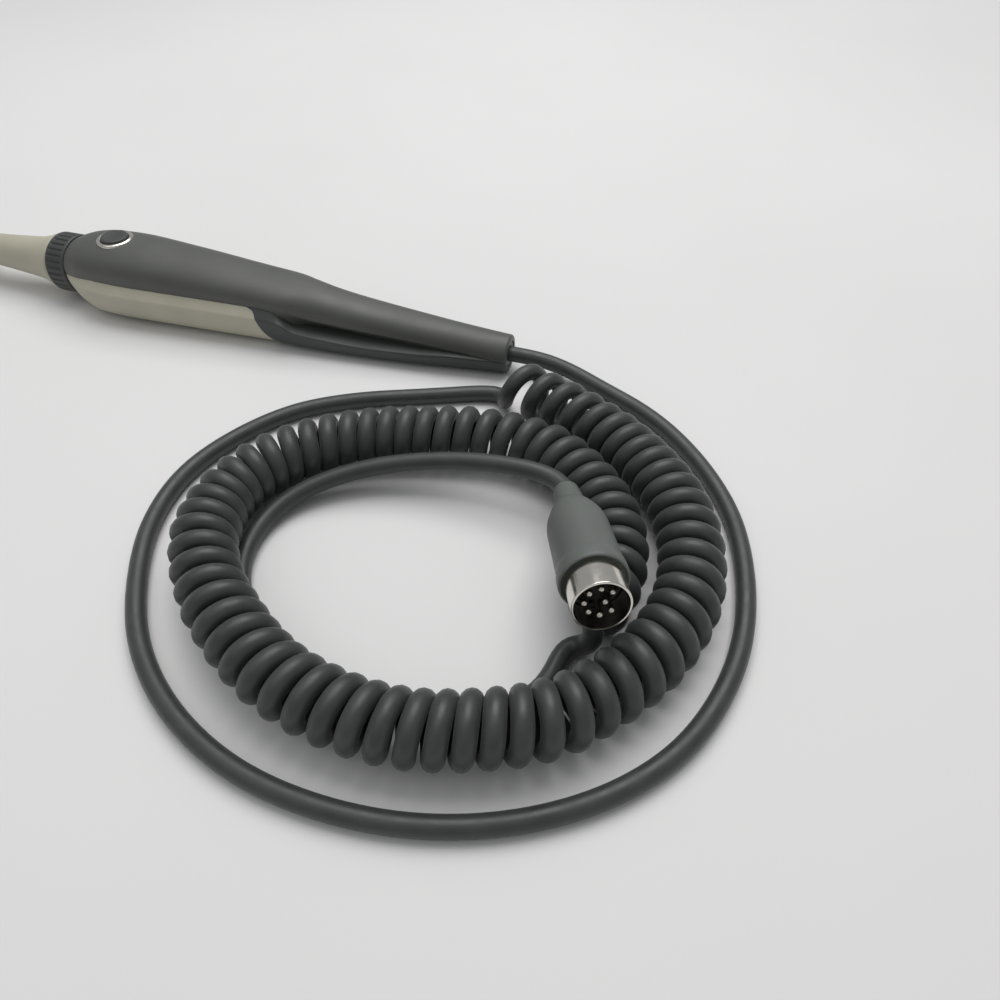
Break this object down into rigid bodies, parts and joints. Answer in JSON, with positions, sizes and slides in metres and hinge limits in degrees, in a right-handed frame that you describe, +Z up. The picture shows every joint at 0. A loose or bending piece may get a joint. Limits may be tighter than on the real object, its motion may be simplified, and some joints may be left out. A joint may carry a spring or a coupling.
{
  "type": "intraoral camera",
  "caption": "Slim dental camera handpiece with a focus ring and capture button, and a long part-coiled cord ending in a round connector plug.",
  "frame": {"origin": "Middle of the handpiece's bounding box, on the flat belly that it rests on.", "axes": "+X along the handpiece from the camera head to the cord, +Z up out of the belly."},
  "size_m": [0.3055, 0.1706, 0.0324],
  "materials": {
    "taupe_plastic": "satin",
    "beige_plastic": "satin",
    "slate_plastic": "satin",
    "diffuser_plastic": "gloss",
    "board_green": "satin",
    "led_resin": "gloss",
    "steel": "satin",
    "optical_glass": "gloss",
    "black_plastic": "satin",
    "seal_rubber": "matte",
    "ring_plastic": "satin",
    "carriage_metal": "satin",
    "chip_black": "satin",
    "flex_amber": "gloss",
    "ivory_plastic": "satin",
    "wire_plastic": "satin",
    "cord_rubber": "satin",
    "plug_plastic": "satin",
    "plug_nickel": "gloss"
  },
  "bodies": {
    "handpiece": {"upper_cover": "taupe_plastic", "lower_shell": "beige_plastic", "tail_shell": "slate_plastic", "neck_tube": "beige_plastic", "head_housing": "beige_plastic", "light_ring": "diffuser_plastic", "led_board": "board_green", "leds": "led_resin", "window_bezel": "steel", "lens_window": "optical_glass", "prism": "optical_glass", "objective_lens": "optical_glass", "relay_lenses": "optical_glass", "relay_spacers": "black_plastic", "guide_key": "steel", "ring_seal": "seal_rubber", "sensor_mount": "black_plastic", "image_sensor": "chip_black", "sensor_board": "board_green", "flex_cable": "flex_amber", "main_board": "board_green", "board_chips": "chip_black", "board_screws": "steel", "board_connector": "ivory_plastic", "tactile_switch": "ivory_plastic", "button_bezel": "plug_nickel", "shell_screws": "steel", "inner_wires": "wire_plastic", "cord_inner_end": "cord_rubber", "cord_clamp": "steel", "clamp_screws": "steel", "cord_grommet": "seal_rubber", "cord_lead": "cord_rubber", "cord_coil": "cord_rubber", "cord_tail": "cord_rubber", "plug_body": "plug_plastic", "plug_shell": "plug_nickel", "plug_insert": "black_plastic", "plug_pins": "plug_nickel", "plug_ferrule": "steel", "plug_cord_end": "cord_rubber", "plug_wires": "wire_plastic", "button_spring": "steel"},
    "focus_ring": {"focus_ring": "ring_plastic", "cam_pin": "steel"},
    "lens_carriage": {"lens_carriage": "carriage_metal", "focus_lens": "optical_glass", "lens_retainer": "black_plastic"},
    "capture_button": {"capture_button": "ring_plastic", "switch_plunger": "black_plastic"}
  },
  "joints": [
    {"name": "focus_turn", "type": "hinge", "parent": "handpiece", "child": "focus_ring", "pos_m": [-0.0573, 0, 0.0118], "axis": [1, 0, 0], "range_deg": [-46, 46]},
    {"name": "focus_slide", "type": "slide", "parent": "handpiece", "child": "lens_carriage", "axis": [1, 0, 0], "range_m": [-0.00121, 0.00121]},
    {"name": "capture_press", "type": "slide", "parent": "handpiece", "child": "capture_button", "axis": [0, 0, -1], "range_m": [0, 0.0008], "stiffness_N_per_m": 800, "springref_m": -0.001, "deforming": ["button_spring"]}
  ],
  "couplings": [
    {"joint": "focus_slide", "follows": "focus_turn", "m_per_rad": 0.0015}
  ]
}
